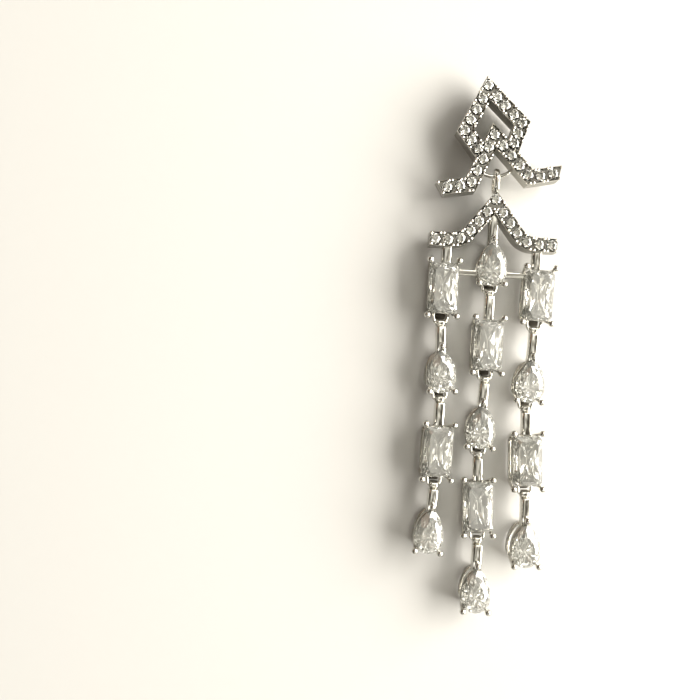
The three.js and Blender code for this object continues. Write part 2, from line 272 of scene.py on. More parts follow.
def skin(rings, loop=False, finish=POLISHED):
    """The closed surface through a stack of rings of points. Point j of ring i is joined to point j
    of ring i + 1 and to point j + 1 of its own ring. Flat faces close the first and last ring,
    unless the stack runs round in a loop."""
    count, around = rings.shape[:2]
    finish = np.broadcast_to(finish, (count, around, 2)).reshape(-1, 2)
    i = np.arange(count if loop else count - 1)[:, None] * around
    j = np.arange(around)[None, :]
    k = (j + 1) % around
    onward = (i + around) % (count * around)
    quads = np.stack([i + j, i + k, onward + k, onward + j], -1).reshape(-1, 4)
    return outward(rings.reshape(-1, 3), [quads] + ([] if loop else end_caps(count, around)), finish)


def facets(rings):
    """A cut stone. Rings of equal counts are turned half a step against each other, so the strip
    between two of them is triangles; flat faces close the first and the last."""
    count, around = rings.shape[:2]
    i = np.arange(count - 1)[:, None]
    j = np.arange(around)[None, :]
    k = (j + 1) % around
    low, high, is_odd = i * around, (i + 1) * around, i % 2 == 1
    first = np.stack([low + j, low + k, high + np.where(is_odd, k, j)], -1)
    second = np.stack([low + np.where(is_odd, j, k), high + k, high + j], -1)
    triangles = np.concatenate([first, second]).reshape(-1, 3)
    return outward(rings.reshape(-1, 3), [triangles] + end_caps(count, around))


def combine(shells):
    """Several shells as one."""
    points, groups, finishes = zip(*shells)
    starts = np.concatenate([[0], np.cumsum([len(p) for p in points])[:-1]]).astype(int)
    faces = [group + start for own, start in zip(groups, starts) for group in own]
    return np.concatenate(points), faces, np.concatenate(finishes)


def scatter(shell, axes, origins):
    """Copies of a shell: copy k has the rows of axes[k] as its directions and starts at origins[k]."""
    points, faces, finish = shell
    spread = np.einsum("ni,kij->knj", points, axes) + origins[:, None, :]
    starts = np.arange(len(origins))[:, None, None] * len(points)
    groups = [(group[None] + starts).reshape(-1, group.shape[1]) for group in faces]
    return spread.reshape(-1, 3), groups, np.tile(finish, (len(origins), 1))


def put(shell, origin, axes=UPRIGHT):
    """The shell moved into a frame with the given origin and rows of directions."""
    points, faces, finish = shell
    return points @ axes + origin, faces, finish


def squircle(width, height, power, count):
    """A rounded rectangle: both halves follow cosine and sine raised to a power below one."""
    t = 2 * pi * (np.arange(count) + 0.5) / count
    across, up = (np.sign(f) * np.abs(f) ** power for f in (np.cos(t), np.sin(t)))
    return np.stack([width / 2 * across, height / 2 * up], -1)


def ball(radii, rows, around):
    """An ellipsoid as a stack of latitude rings, closed by small flat faces at its poles."""
    latitude = np.linspace(-0.47, 0.47, rows)[:, None] * pi
    turn = 2 * pi * np.arange(around) / around
    reach = np.cos(latitude)
    rings = [reach * np.cos(turn), reach * np.sin(turn), np.sin(latitude) + 0 * turn]
    return skin(np.stack(rings, -1) * radii)


def tube(path, section, side, loop=False, scale=None, finish=POLISHED):
    """A section carried along a path. At each point the section's first coordinate runs along the
    cross product of side and the path's direction, and its second at right angles to both."""
    if loop:
        run = np.roll(path, -1, 0) - np.roll(path, 1, 0)
    else:
        run = np.gradient(path, axis=0)
    run = run / np.linalg.norm(run, axis=1, keepdims=True)
    across = np.cross(np.broadcast_to(side, run.shape), run)
    across = across / np.linalg.norm(across, axis=1, keepdims=True)
    up = np.cross(run, across)
    size = np.ones(len(path)) if scale is None else scale
    local = section[None] * size[:, None, None]
    rings = path[:, None] + local[..., :1] * across[:, None] + local[..., 1:] * up[:, None]
    return skin(rings, loop, finish)


def circle(radius, count):
    """Points of a circle about the origin."""
    t = 2 * pi * np.arange(count) / count
    return radius * np.stack([np.cos(t), np.sin(t)], -1)


def distances(line):
    """The way along a line to each of its points."""
    return np.concatenate([[0], np.cumsum(np.linalg.norm(np.diff(line, axis=0), axis=1))])


def even(points, count, loop=True):
    """Points at even distances along a polyline."""
    line = np.concatenate([points, points[:1]]) if loop else points
    s = distances(line)
    at = np.linspace(0, s[-1], count + 1)[:-1] if loop else np.linspace(0, s[-1], count)
    return np.stack([np.interp(at, s, line[:, k]) for k in range(line.shape[1])], -1)


def smoothed(path):
    """A closed path with each point moved halfway to the middle of its neighbours."""
    return (np.roll(path, 1, 0) + 2 * path + np.roll(path, -1, 0)) / 4


def lift(points, z):
    """Points of the plane at a height."""
    return np.concatenate([points, np.full((len(points), 1), z)], 1)


# ---- Outlines of the stones, about their centres ----------


def rect_outline(seat, inset, count, sizes, phase=0.0):
    """A rectangle with cut corners. Its eight edges share the points evenly, and phase moves every
    point that share of the way to the next."""
    x, y, c = seat["half"] - inset, seat["reach"] - inset, sizes.corner
    corners = np.array([(x - c, y), (c - x, y), (-x, y - c), (-x, c - y), (c - x, -y), (x - c, -y),
                        (x, c - y), (x, y - c)])
    at = (np.arange(count) + phase) * len(corners) / count % len(corners)
    wrap = np.concatenate([corners, corners[:1]])
    return np.stack([np.interp(at, np.arange(len(corners) + 1), wrap[:, k]) for k in range(2)], -1)


def pear_outline(seat, inset, count, sizes, phase=0.0):
    """Round below its centre. Above it the half width falls as a power of the cosine while the
    height rises as the sine."""
    r, tip = seat["half"] - inset, seat["reach"] - inset
    t = pi / 2 + 2 * pi * (np.arange(count) + phase) / count
    c, s = np.cos(t), np.sin(t)
    above = s > 0
    x = np.where(above, r * np.sign(c) * np.abs(c) ** sizes.pear_power, r * c)
    return np.stack([x, np.where(above, tip * s, r * s)], -1)


OUTLINE = {"rect": rect_outline, "pear": pear_outline}


# ---- Places read from the CAD frame -----------------------


def read(items, field, size):
    """A field of every item of one of a mesh's collections, a row of numbers for each."""
    values = np.empty(len(items) * size, np.float32)
    items.foreach_get(field, values)
    return values.reshape(-1, size).astype(float)


def node_points(node):
    """The distinct points of a CAD node."""
    return np.unique(np.round(read(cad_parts[node].data.vertices, "co", 3), 8), axis=0)


def seat_of(node, sizes):
    """A stone's place: up is the mean normal of its flat table, along is the long axis of its
    points, and the origin is under its centre, at the base of its setting."""
    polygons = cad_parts[node].data.polygons
    normals, areas = read(polygons, "normal", 3), read(polygons, "area", 1)
    flat = normals[:, 2] > 0.95
    up = (normals[flat] * areas[flat]).sum(0)
    up /= np.linalg.norm(up)
    points = node_points(node)
    middle = points.mean(0)
    spread = (points - middle) - ((points - middle) @ up)[:, None] * up
    along = np.linalg.svd(spread, full_matrices=False)[2][0]
    along *= np.sign(along[1])
    axes = np.stack([np.cross(along, up), along, up])
    local = (points - middle) @ axes.T
    low, high = local.min(0), local.max(0)
    half = (high[0] - low[0]) / 2
    is_pear = abs(high[1] + low[1]) > half / 4
    centre_y = low[1] + half if is_pear else (low[1] + high[1]) / 2
    base = high[2] - sizes.girdle - sizes.crown
    origin = middle + np.array([(low[0] + high[0]) / 2, centre_y, base]) @ axes
    return {
        "cut": "pear" if is_pear else "rect", "axes": axes, "origin": origin,
        "half": half + sizes.gap, "reach": high[1] - centre_y + sizes.gap,
    }


def roof_place(sizes):
    """The row's place of the roof's apex, at the base of the settings: the hanging ring is over it."""
    points = node_points("roof_frame")
    ring = points[points[:, 1] > points[:, 1].max() - sizes.ring_wire]
    return np.array([
        (ring[:, 0].min() + ring[:, 0].max()) / 2, points[:, 1].max() - sizes.ring_high, points[:, 2].min(),
    ])


def top_place(sizes):
    """The origin and axes of the top: its outermost corners are the upper corners of its two feet."""
    points = node_points("top_frame")
    left, right = points[points[:, 0].argmin()], points[points[:, 0].argmax()]
    turn = atan2(right[1] - left[1], right[0] - left[0])
    axes = np.array([(cos(turn), sin(turn), 0), (-sin(turn), cos(turn), 0), (0, 0, 1)])
    level = sizes.foot[1] + sizes.width / 2
    origin = (left + right) / 2 - level * axes[1]
    origin[2] = points[:, 2].max() - sizes.top
    return origin, axes


def strand_nodes():
    """(side, number, seat) of every stone, from the roof down."""
    stones = bpy.context.scene.earring_stones
    found = []
    for side in SIDES:
        number = 1
        while f"{side}_stone_{number}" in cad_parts:
            found.append((side, number, seat_of(f"{side}_stone_{number}", stones)))
            number += 1
    return found


# ---- Pieces -----------------------------------------------


def make_piece(name, shells, node, origin, axes=UPRIGHT, stone=None):
    """A mesh object of shells given in a frame with this origin and these rows of directions. It
    stands for a CAD node and rides on the earring. It is smooth plated metal, or faceted stone of
    the given material."""
    points, faces, finish = put(combine(shells), origin, axes)
    mesh = bpy.data.meshes.new(name)
    mesh.from_pydata(points.tolist(), [], [face for group in faces for face in group.tolist()])
    if mesh.validate():
        raise RuntimeError(f"{name} has broken faces")
    if stone is None:
        for key, values in zip(("recess", "satin"), finish.T.astype(np.float32)):
            mesh.attributes.new(key, "FLOAT", "POINT").data.foreach_set("value", values)
        mesh.shade_smooth()
        mesh.set_sharp_from_angle(angle=radians(38))
    mesh.materials.append(stone or metal_material())
    piece = bpy.data.objects.new(name, mesh)
    bpy.context.scene.collection.objects.link(piece)
    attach(piece, "root")
    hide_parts(node)


# ---- Paved bars -------------------------------------------

STONE_SEED, BEAD_SEED = 7, 11
BEAD_INSET = 0.7  # how much of its radius a bead's centre stays inside the bar's edge
SUNK = 0.04 * MM  # how far a stone's girdle lies under the face
LEG_STONES, SIDE_STONES, ROOF_STONES = 7, 5, 7


def across_vectors(line, slants=(0.0, 0.0)):
    """For each point of a line the vector across a band of unit half width: at a bend it is
    lengthened along the mitre, and at the ends it leans outwards by a slant per unit."""
    run = np.diff(line, axis=0)
    run /= np.linalg.norm(run, axis=1, keepdims=True)
    normal = np.stack([-run[:, 1], run[:, 0]], -1)
    before, after = np.concatenate([normal[:1], normal]), np.concatenate([normal, normal[-1:]])
    mitre = before + after
    mitre /= np.linalg.norm(mitre, axis=1, keepdims=True)
    mitre /= np.sum(mitre * after, axis=1, keepdims=True)
    mitre[0] -= run[0] * slants[0]
    mitre[-1] += run[-1] * slants[1]
    return mitre


def along(line, vectors, at):
    """The points of a line at given distances, and the vectors across it there."""
    s = distances(line)
    return tuple(np.stack([np.interp(at, s, v[:, k]) for k in range(2)], -1) for v in (line, vectors))


def paved_bar(line, vectors, stones, sizes, pave):
    """A bar with a rounded rim on both edges. Inside the rims its face is cut down, and round each
    stone it falls as a cone; the deeper the face lies, the darker its painted shade. Its walls and back are
    matt and darkened with painted shade."""
    bottom, top, half, r = sizes.bottom, sizes.top, sizes.width / 2, pave.edge
    s = distances(line)
    at = np.unique(np.concatenate([np.arange(0, s[-1], pave.step), s]))
    at = at[np.concatenate([[True], np.diff(at) > pave.step / 50])]
    centre, across = along(line, vectors, at)
    bend = np.linspace(0, pi / 2, 4)
    columns = np.linspace(r - half, half - r, int(round((sizes.width - 2 * r) / pave.step)))
    u = np.concatenate([[r - half], r - half - r * np.cos(bend[:-1]), columns,
                        half - r + r * np.sin(bend[1:]), [half - r]])
    z = np.concatenate([[bottom], top - r + r * np.sin(bend[:-1]), np.full(len(columns), top),
                        top - r + r * np.cos(bend[1:]), [bottom]])
    u = np.insert(u, [1, len(u) - 1], [-half, half])
    z = np.insert(z, [1, len(z) - 1], [bottom + r, bottom + r])
    flat = centre[:, None] + u[None, :, None] * across[:, None]
    near = np.linalg.norm(flat[:, :, None] - stones[None, None], axis=-1).min(-1)
    inner = np.clip((half - pave.rim - np.abs(u)) / (pave.rim / 2), 0, 1)
    inner = inner * inner * (3 - 2 * inner)
    cone = np.clip((pave.stone * 1.08 - near) / (pave.stone * 0.8), 0, 1)
    is_face = z > top - r / 2
    depth = np.where(is_face, pave.cut * inner + (pave.seat - pave.cut) * cone, 0)
    rings = np.concatenate([flat, (z[None] - depth)[..., None]], -1)
    # Walls and back are marked matt, which roughens them and paints shade on them; the face's depth sets its
    # painted shade.
    satin = np.broadcast_to(np.where(z < top - r * 0.9, 1.0, 0.0), depth.shape)
    return skin(rings, finish=np.stack([depth / pave.seat, satin], -1))


def round_brilliant(radius):
    """A small round brilliant about the centre of its girdle, with eight-sided rings."""
    rows = [(0.30, 0.54), (0.18, 0.80), (0.0, 1.0), (-0.42, 0.52), (-0.78, 0.06)]
    around = 8
    rings = []
    for k, (height, reach) in enumerate(rows):
        t = 2 * pi * (np.arange(around) + 0.5 * (k % 2)) / around
        rings.append(np.stack([reach * np.cos(t), reach * np.sin(t), height + 0 * t], -1))
    return facets(np.array(rings) * radius)


def pave_dots(line, vectors, at, width):
    """Places of the stones at given distances, and of the beads: two near each edge between
    neighbouring stones."""
    pave = bpy.context.scene.earring_pave
    reach = width / 2 - pave.bead * BEAD_INSET
    middle = (at[1:] + at[:-1]) / 2
    centre, across = along(line, vectors, np.concatenate([middle - pave.pair, middle + pave.pair]))
    return along(line, vectors, at)[0], np.concatenate([centre + across * reach, centre - across * reach])


def mirror(points):
    """Points of the right half together with their images in the left half."""
    return np.concatenate([points, points * (-1, 1)])


def turned(origins, seed):
    """Upright axes for each origin, each turned about Z by its own seeded angle."""
    turn = np.random.default_rng(seed).uniform(0, 2 * pi, len(origins))
    c, s, o = np.cos(turn), np.sin(turn), np.zeros(len(origins))
    rows = [np.stack(row, -1) for row in ((c, s, o), (-s, c, o), (o, o, o + 1))]
    return np.stack(rows, 1)


def add_pave(prefix, bars, stones, beads, sizes, place):
    """The plate, stones and beads of one paved casting, whose place is its origin and axes."""
    pave, node = bpy.context.scene.earring_pave, f"{prefix}_frame"
    plate = [paved_bar(line, vectors, stones, sizes, pave) for line, vectors in bars]
    make_piece(f"{prefix}_plate", plate, node, *place)
    gems = scatter(round_brilliant(pave.stone), turned(stones, STONE_SEED),
                   lift(stones, sizes.top - SUNK))
    make_piece(f"{prefix}_pave_stones", [gems], node, *place, stone=zirconia_material("pave_stone", 0.0))
    dots = scatter(ball((pave.bead,) * 3, 5, 8), turned(beads, BEAD_SEED), lift(beads, sizes.top))
    make_piece(f"{prefix}_pave_beads", [dots], node, *place)


class EARRING_OT_top(bpy.types.Operator):
    """Builds the paved diamond and chevron with their stones and beads"""

    bl_idname = "earring.top"
    bl_label = "Paved top"

    def execute(self, context):
        s, pave = context.scene.earring_top, context.scene.earring_pave
        half = s.width / 2
        bend, foot, crossing = (np.array(p) for p in (s.bend, s.foot, s.crossing))
        tip, corner = np.array(s.tip), np.array(s.corner)
        leg = np.array([(0, 0), bend, foot])
        chevron = np.concatenate([(leg * (-1, 1))[::-1], leg[1:]])
        slant = s.slant / half
        # A lower side of the diamond ends along the edge of the chevron's leg, just inside it.
        down = (crossing - corner) / np.linalg.norm(crossing - corner)
        edge = bend / np.linalg.norm(bend)
        square = np.array([edge[1], -edge[0]])
        stop = crossing - down * (half - pave.rim) / abs(down @ square)
        side = np.array([tip, corner, stop])
        diamond = np.concatenate([side[::-1], (side * (-1, 1))[1:]])
        vectors = across_vectors(diamond)
        vectors[0] = edge / (edge @ vectors[0])
        vectors[-1] = vectors[0] * (-1, 1)
        legs = across_vectors(chevron, (slant, slant))
        at = s.pitch * np.arange(0.0, LEG_STONES)
        stones, beads = pave_dots(leg, across_vectors(leg, (0, slant)), at, s.width)
        side_length = np.linalg.norm(corner - tip)
        at = np.append(side_length * np.linspace(0, 1, SIDE_STONES), side_length + np.array(s.last))
        run = np.array([tip, corner, crossing])
        side_stones, side_beads = pave_dots(run, across_vectors(run), at, s.width)
        all_stones = np.concatenate([
            [(0, s.middle_stone)], mirror(stones[1:]), [tip + (0, s.tip_stone)], mirror(side_stones[1:]),
        ])
        ends = np.array([foot + (pave.bead, half - pave.bead), foot + (-pave.bead, pave.bead - half)])
        all_beads = np.concatenate([
            mirror(beads), mirror(side_beads), mirror(ends), [tip + (0, s.tip_bead)],
        ])
        add_pave("top", [(chevron, legs), (diamond, vectors)], all_stones, all_beads, s, top_place(s))
        return {"FINISHED"}


def roof_line(s):
    """Right half of the roof's centre line: a straight leg, a parabola at the knee, a level eave."""
    knee = np.array(s.knee)
    leg = knee / np.linalg.norm(knee)
    start, end = knee - leg * s.knee_round, knee + np.array([s.knee_round, 0])
    f = np.linspace(0, 1, 13)[:, None]
    curve = (1 - f) ** 2 * start + 2 * f * (1 - f) * knee + f * f * end
    return np.concatenate([[(0, 0)], curve, [(s.eave, knee[1])]])


class EARRING_OT_roof(bpy.types.Operator):
    """Builds the paved roof with its stones and beads"""

    bl_idname = "earring.roof"
    bl_label = "Paved roof"

    def execute(self, context):
        s, pave = context.scene.earring_roof, context.scene.earring_pave
        line = roof_line(s)
        whole = np.concatenate([(line * (-1, 1))[::-1], line[1:]])
        at = s.pitch * np.arange(0.0, ROOF_STONES)
        stones, beads = pave_dots(line, across_vectors(line), at, s.width)
        up = s.width / 2 - pave.bead
        ends = line[-1] + np.array([(-pave.bead, up), (-pave.bead, -up)])
        all_stones = np.concatenate([[(0, s.middle_stone)], mirror(stones[1:])])
        all_beads = np.concatenate([mirror(beads), mirror(ends)])
        add_pave("roof", [(whole, across_vectors(whole))], all_stones, all_beads, s, (roof_place(s),))
        return {"FINISHED"}


# ---- Fittings of the top and the roof ---------------------


def ring_plate(outer, inner, thick, count=36):
    """A flat ring in the YZ plane, thick along X, with rounded edges: its wall's section is carried
    round from the inner ellipse to the outer one. Each ellipse is (half height along Y, along Z)."""
    t = 2 * pi * np.arange(count) / count
    middle, wall = np.add(outer, inner) / 2, np.subtract(outer, inner) / 2
    section = squircle(2.0, thick, 0.55, 16)
    grow = middle + section[None, :, :1] * wall
    y, z = grow[..., 0] * np.cos(t)[:, None], grow[..., 1] * np.sin(t)[:, None]
    x = np.broadcast_to(section[:, 1], y.shape)
    return skin(np.stack([x, y, z], -1), loop=True)


class EARRING_OT_top_fittings(bpy.types.Operator):
    """Builds the wire bail, the two lugs on the back and the wire clip behind the top"""

    bl_idname = "earring.top_fittings"
    bl_label = "Bail, lugs and clip"

    def execute(self, context):
        s = context.scene.earring_top
        origin, axes = top_place(s)
        f = np.linspace(-1, 1, 25)
        end = np.array(s.bail)
        bail = np.stack([f * end[0], end[1] - s.bail_sag * (1 - f * f), 0 * f + s.bail_height], -1)
        wire = tube(bail, circle(s.bail_wire, 14), UP)
        make_piece("top_bail", [wire], "top_frame", origin, axes)
        lug = ring_plate((s.lug_reach, s.clip_height), (s.lug_hole,) * 2, s.lug_thick)
        # The ring's outline is an ellipse, so a squared foot joins it to the back.
        foot = tube(np.array([(0, 0, s.bottom + z * MM) for z in (-0.12, 0, 0.1)]),
                    squircle(2 * s.lug_thick, s.lug_thick, 0.5, 20), (1, 0, 0))
        lugs = [put(shell, (x, s.lug[1], z)) for x in (-s.lug[0], s.lug[0])
                for shell, z in ((lug, s.clip_height), (foot, 0))]
        make_piece("top_lugs", lugs, "top_frame", origin, axes)
        corner = np.array(s.corner) - (s.clip_inset, 0)
        half = [(s.clip_reach, s.lug[1]), corner, (0, s.tip[1] - 2 * s.clip_inset)]
        path = even(np.array(half + [(-x, y) for x, y in half[1::-1]]), 120)
        for _ in range(6):
            path = smoothed(path)
        clip = tube(lift(path, s.clip_height), circle(s.clip_wire, 14), UP, loop=True)
        make_piece("ear_clip_wire", [clip], "ear_clip", origin, axes)
        return {"FINISHED"}


def bar_section(s):
    """A bar's section about its widest level: an arch above it, squared off below it."""
    t = 2 * pi * (np.arange(36) + 0.5) / 36
    c, v = np.cos(t), np.sin(t)
    x = s.bar_width / 2 * np.sign(c) * np.abs(c) ** np.where(v > 0, 0.85, 0.4)
    rise, fall = s.bar_arch, s.bar_top - s.bar_bottom - s.bar_arch
    return np.stack([x, np.where(v > 0, rise * np.abs(v) ** 0.9, -fall * np.abs(v) ** 0.4)], -1)


def bar(x, high, low, s):
    """A straight bar along Y between two levels, slightly rounded off at its ends."""
    end = 0.08 * MM
    y = np.array([low, low + end / 3, low + end, (low + high) / 2, high - end, high - end / 3, high])
    path = np.stack([0 * y + x, y, 0 * y + s.bar_top - s.bar_arch], -1)
    scale = np.array([0.86, 0.96, 1, 1, 1, 0.96, 0.86])
    return tube(path, bar_section(s), (0, 0, -1), scale=scale)


class EARRING_OT_roof_fittings(bpy.types.Operator):
    """Builds the roof's hanging ring, its three short bars and its two crossbars"""

    bl_idname = "earring.roof_fittings"
    bl_label = "Ring, bars and crossbars"

    def execute(self, context):
        s, sizes = context.scene.earring_roof, context.scene.earring_settings
        origin = roof_place(s)
        outer = ((s.ring_high - s.ring_low) / 2, (s.ring_top - s.ring_bottom) / 2)
        ring = ring_plate(outer, [r - s.ring_wire for r in outer], s.ring_thick, 48)
        middle = (0, (s.ring_high + s.ring_low) / 2, (s.ring_top + s.ring_bottom) / 2)
        make_piece("roof_ring", [ring], "roof_frame", origin + middle)
        bars = []
        for side, number, seat in strand_nodes():
            if number == 1:
                foot = seat["origin"] - origin
                x, high = s.eave_bar * np.sign(foot[0]), s.knee[1]
                if side == "centre":
                    x, high = 0, -s.centre_bar
                bars.append(bar(x, high, foot[1] + seat["reach"] - 0.15 * MM, sizes))
        make_piece("roof_bars", bars, "roof_frame", origin)
        f = np.linspace(-0.5, 0.5, 5) * s.cross_length
        section = squircle(s.cross_width, s.cross_width, 0.45, 24)
        path = np.stack([f, 0 * f + s.cross[1], 0 * f + s.cross_height], -1)
        cross = [tube(path + (i * s.cross[0], 0, 0), section, UP) for i in (-1, 1)]
        make_piece("roof_crossbars", cross, "roof_frame", origin)
        return {"FINISHED"}


# ---- Claw settings ----------------------------------------


def rail(seat, inset, bottom, top, sizes, stones):
    """A rail with rounded edges that follows the stone's outline. Its upright walls are matt and darkened
    with painted shade.
    """
    outline = OUTLINE[seat["cut"]](seat, inset + sizes.wall / 2, 96, stones)
    path = smoothed(even(outline, 96))
    section = squircle(sizes.wall, top - bottom, 0.4, 16)
    is_wall = (np.abs(section[:, 1]) < (top - bottom) * 0.36)[:, None]
    # Painted shade on the upright walls, and a little more as if deep in a seat.
    return tube(lift(path, (bottom + top) / 2), section, UP, loop=True, finish=is_wall * (0.1, 1.0))


def prong(foot, tip, sizes):
    """A shaft that thins towards its tip and bows outwards a little, and the ball on its tip."""
    foot, tip = np.array(foot), np.array(tip)
    f = np.linspace(0, 1, 7)[:, None]
    out = (tip - foot) * (1, 1, 0)
    path = foot + (tip - foot) * f + out * np.sin(pi * f) * 0.12
    shaft = tube(path, circle(sizes.prong, 12), (-out[1], out[0], 0) if out @ out > 0 else (1, 0, 0),
                 scale=np.linspace(1, 0.85, 7))
    head = ball((sizes.prong_ball, sizes.prong_ball, sizes.prong_ball * 0.92), 9, 16)
    return [shaft, put(head, tip)]


def prongs(seat, sizes):
    """Four prongs at a rectangle's corners, or three round a pear."""
    if seat["cut"] == "rect":
        tip = np.array([seat["half"], seat["reach"]]) + sizes.rect_tip
        foot = tip - sizes.rect_in
        places = [(foot * side, tip * side) for side in np.array([(-1, -1), (-1, 1), (1, -1), (1, 1)])]
    else:
        tip = seat["reach"] + sizes.pear_tip
        inner, outer = ((seat["half"] + way * sizes.pear_out) * cos(pi / 4) for way in (-1, 1))
        places = [((0, tip - sizes.pear_in), (0, tip))]
        places += [((i * inner, -inner), (i * outer, -outer)) for i in (-1, 1)]
    return [piece for foot, tip in places
            for piece in prong((*foot, sizes.prong_low), (*tip, sizes.prong_top), sizes)]


def block(y, width, depth, levels, ends, finish):
    """An upright block with a squared oval section, drawn in by a factor at both ends."""
    z = np.array(levels) * MM
    scale = np.ones(len(z))
    scale[[0, -1]] = ends
    return tube(np.stack([0 * z, 0 * z + y, z], -1), squircle(width, depth, 0.4, 24), (0, -1, 0),
                scale=scale, finish=finish)


def foot_loop(seat, sizes):
    """A wire loop lying flat under a setting: half of a squared oval, the seat behind it, and a
    shelf low down between its legs. Both blocks are darkened with painted shade; the shelf is a dark sheet
    that stands for the shade inside the loop."""
    is_rect = seat["cut"] == "rect"
    wall = seat["reach"] if is_rect else seat["half"]
    tail = sizes.rect_tail if is_rect else sizes.pear_tail
    start = sizes.wall / 2 + 0.15 * MM - wall
    t = np.linspace(0, pi, 33)
    c, s = (np.sign(f) * np.abs(f) ** 0.55 for f in (np.cos(t), np.maximum(np.sin(t), 0)))
    path = np.stack([sizes.loop_width / 2 * c, start + (-tail - start) * s, 0 * t + sizes.eye_height], -1)
    wire = tube(even(path, 33, False), circle(sizes.loop_wire, 12), UP)
    back = wall if is_rect else wall * 0.9
    # Painted shade: the seat block is darkened a little, and the shelf fully, as a dark sheet where the loop
    # holds only shade.
    behind = block(0.17 * MM - back, sizes.loop_width + 0.4 * MM, 0.26 * MM,
                   (0.3, 0.4, 1.0, 1.85, 1.95), 0.9, (0.2, 1.0))
    shade_shelf = block(-0.2 * MM - back, sizes.loop_width - 0.2 * MM, 0.6 * MM,
                  (0.45, 0.5, 0.7, 0.75), 0.95, (0.6, 1.0))
    return [wire, behind, shade_shelf]


def hanger(seat, drop, sizes):
    """The eye that goes round the loop above, and the bar from it down to the setting."""
    eye = ring_plate((sizes.eye_outer,) * 2, (sizes.eye_hole,) * 2, sizes.eye_thick, 28)
    foot = seat["reach"] - 0.17 * MM
    top = drop - (sizes.eye_outer + sizes.eye_hole) / 2
    return [put(eye, (0, drop, sizes.eye_height)), bar(0, top, foot, sizes)]


class EARRING_OT_settings(bpy.types.Operator):
    """Builds the claw settings of all strands with their loops, and the bars they hang from"""

    bl_idname = "earring.settings"
    bl_label = "Claw settings"

    def execute(self, context):
        sizes, stones = context.scene.earring_settings, context.scene.earring_stones
        for side, number, seat in strand_nodes():
            node = f"{side}_setting_{number}" if number > 1 else "roof_frame"
            origin, axes = seat["origin"], seat["axes"]
            basket = [
                rail(seat, sizes.base_inset, 0.0, sizes.base_top, sizes, stones),
                rail(seat, 0.0, sizes.gallery_bottom, sizes.gallery_top, sizes, stones),
                *prongs(seat, sizes),
            ]
            if f"{side}_stone_{number + 1}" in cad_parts:
                basket += foot_loop(seat, sizes)
            make_piece(f"{side}_basket_{number}", basket, node, origin, axes)
            if number > 1:
                drop = ((node_points(node) - origin) @ axes.T)[:, 1].max() - sizes.eye_outer
                make_piece(f"{side}_bar_{number}", hanger(seat, drop, sizes), node, origin, axes)
        return {"FINISHED"}


# ---- Cut stones -------------------------------------------

# Rings of a cut from the table down: height (1 is the table, 0 the girdle, -1 the culet), how much
# of the outline's width and length each keeps, and how far every other point is lifted and the
# rest are lowered, as a share of the pavilion. Every second ring is half a step on.
CUTS = {
    "rect": ((1.0, 0.62, 0.80, 0.0), (0.50, 0.84, 0.91, 0.01), (0.0, 1.0, 1.0, 0.0),
             (-0.30, 0.78, 0.90, 0.03), (-0.62, 0.44, 0.70, 0.05), (-0.86, 0.18, 0.44, 0.03),
             (-1.0, 0.02, 0.16, 0.0)),
    "pear": ((1.0, 0.56, 0.58, 0.0), (0.58, 0.80, 0.81, 0.02), (0.0, 1.0, 1.0, 0.0),
             (-0.34, 0.74, 0.74, 0.05), (-0.66, 0.42, 0.42, 0.06), (-0.88, 0.18, 0.18, 0.03),
             (-1.0, 0.04, 0.04, 0.0)),
}
FACETS_AROUND = 16


def gem(seat, sizes):
    """A cut stone: rings of the outline, shrunk and set at the heights of its cut."""
    cut = seat["cut"]
    rings = []
    for k, (height, keep_x, keep_y, wave) in enumerate(CUTS[cut]):
        outline = OUTLINE[cut](seat, sizes.gap, FACETS_AROUND, sizes, 0.5 * (k % 2))
        z = sizes.girdle + height * (sizes.crown if height > 0 else sizes.pavilion)
        ring = lift(outline * (keep_x, keep_y), z)
        ring[:, 2] += wave * sizes.pavilion * (-1) ** np.arange(FACETS_AROUND)
        rings.append(ring)
    return facets(np.array(rings))


class EARRING_OT_gems(bpy.types.Operator):
    """Cuts the rectangular and pear stones of all strands"""

    bl_idname = "earring.gems"
    bl_label = "Cut stones"

    def execute(self, context):
        sizes = context.scene.earring_stones
        stone = zirconia_material("cut_stone", context.scene.earring_finish.bloom)
        for side, number, seat in strand_nodes():
            make_piece(f"{side}_gem_{number}", [gem(seat, sizes)], f"{side}_stone_{number}",
                       seat["origin"], seat["axes"], stone)
        return {"FINISHED"}


# ---- Materials --------------------------------------------


class Number:
    """A number from a node's socket. Arithmetic on it adds Math nodes."""

    def __init__(self, shader, socket):
        self.shader, self.socket = shader, socket

    def math(self, operation, *values):
        """The result of a Math node fed with these values."""
        return self.shader.add("ShaderNodeMath", {"operation": operation}, dict(enumerate(values)))

    def __add__(self, other):
        return self.math("ADD", self, other)

    __radd__ = __add__

    def __mul__(self, other):
        return self.math("MULTIPLY", self, other)

    __rmul__ = __mul__

    def __pow__(self, other):
        return self.math("POWER", self, other)


